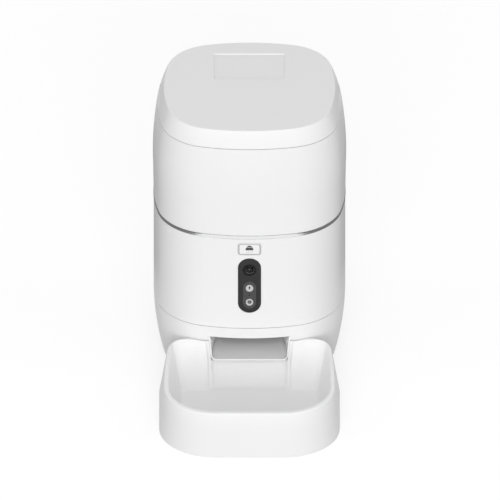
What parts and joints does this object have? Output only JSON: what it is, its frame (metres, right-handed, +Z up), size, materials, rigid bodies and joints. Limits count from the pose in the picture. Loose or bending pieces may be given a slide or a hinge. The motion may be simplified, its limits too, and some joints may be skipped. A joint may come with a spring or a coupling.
{
  "type": "automatic camera pet feeder",
  "caption": "Countertop dry-food dispenser with lift-off hopper and lid, metering rotor, sloped spout, camera panel with buttons and a slide-out bowl.",
  "frame": {"origin": "on the floor, at the middle of the whole feeder's footprint", "axes": "+Z up, the front with the bowl and spout faces -Y, +X to the right seen from the front"},
  "size_m": [0.1934, 0.3284, 0.291],
  "materials": {
    "white_shell": "satin",
    "white_inner": "satin",
    "chrome_trim": "polished",
    "dark_panel": "gloss",
    "grey_inlay": "satin",
    "black_bezel": "gloss",
    "window_glass": "polished",
    "lens_glass": "polished",
    "silver_button": "satin",
    "translucent_rotor": "satin",
    "gear_plastic": "satin",
    "steel": "satin",
    "circuit_board": "satin",
    "dark_part": "matte",
    "feet_rubber": "matte",
    "gasket_rubber": "matte",
    "cell_jacket": "satin"
  },
  "bodies": {
    "base": {"base_housing": "white_shell", "lower_shell": "white_shell", "trim_ring": "chrome_trim", "spout_liner": "white_inner", "camera_panel": "dark_panel", "control_inlay": "grey_inlay", "lens_bezel": "black_bezel", "camera_window": "window_glass", "camera_lens": "lens_glass", "camera_module": "dark_part", "control_board": "circuit_board", "metering_chamber": "white_inner", "gear_motor": "steel", "main_board": "circuit_board", "loudspeaker": "dark_part", "dc_inlet": "dark_part", "bottom_plate": "white_inner", "battery_cells": "cell_jacket", "battery_contacts": "steel", "rubber_feet": "feet_rubber", "housing_screws": "steel", "chamber_screws": "steel", "motor_screws": "steel"},
    "tank": {"food_tank": "white_shell"},
    "lid": {"lid": "white_shell", "lid_gasket": "gasket_rubber", "desiccant_box": "white_inner"},
    "desiccant_cover": {"desiccant_cover": "white_inner"},
    "rotor": {"rotor": "translucent_rotor", "rotor_gear": "gear_plastic", "rotor_axle": "steel"},
    "pinion": {"motor_pinion": "gear_plastic", "motor_shaft": "steel"},
    "feed_button": {"feed_button": "white_shell"},
    "record_button": {"record_button": "silver_button"},
    "playback_button": {"playback_button": "silver_button"},
    "battery_door": {"battery_door": "white_inner"},
    "bowl": {"bowl": "white_shell"}
  },
  "joints": [
    {"name": "tank_lift", "type": "slide", "parent": "base", "child": "tank", "axis": [0, 0, 1], "range_m": [0, 0.12]},
    {"name": "lid_lift", "type": "slide", "parent": "tank", "child": "lid", "axis": [0, 0, 1], "range_m": [0, 0.1]},
    {"name": "desiccant_cover_slide", "type": "slide", "parent": "lid", "child": "desiccant_cover", "axis": [1, 0, 0], "range_m": [0, 0.045]},
    {"name": "rotor_spin", "type": "hinge", "parent": "base", "child": "rotor", "pos_m": [0, 0.0714, 0.14], "axis": [0, 0, 1], "continuous": true},
    {"name": "pinion_spin", "type": "hinge", "parent": "base", "child": "pinion", "pos_m": [0, 0.1254, 0.136], "axis": [0, 0, 1], "continuous": true},
    {"name": "feed_press", "type": "slide", "parent": "base", "child": "feed_button", "axis": [0, 1, 0], "range_m": [0, 0.001], "stiffness_N_per_m": 900},
    {"name": "record_press", "type": "slide", "parent": "base", "child": "record_button", "axis": [0, 1, 0], "range_m": [0, 0.0006], "stiffness_N_per_m": 900},
    {"name": "playback_press", "type": "slide", "parent": "base", "child": "playback_button", "axis": [0, 1, 0], "range_m": [0, 0.0006], "stiffness_N_per_m": 900},
    {"name": "battery_door_slide", "type": "slide", "parent": "base", "child": "battery_door", "axis": [0, 1, 0], "range_m": [0, 0.012]},
    {"name": "bowl_slide", "type": "slide", "parent": "base", "child": "bowl", "axis": [0, -1, 0], "range_m": [0, 0.15]}
  ],
  "couplings": [
    {"joint": "pinion_spin", "follows": "rotor_spin", "ratio": -5}
  ]
}
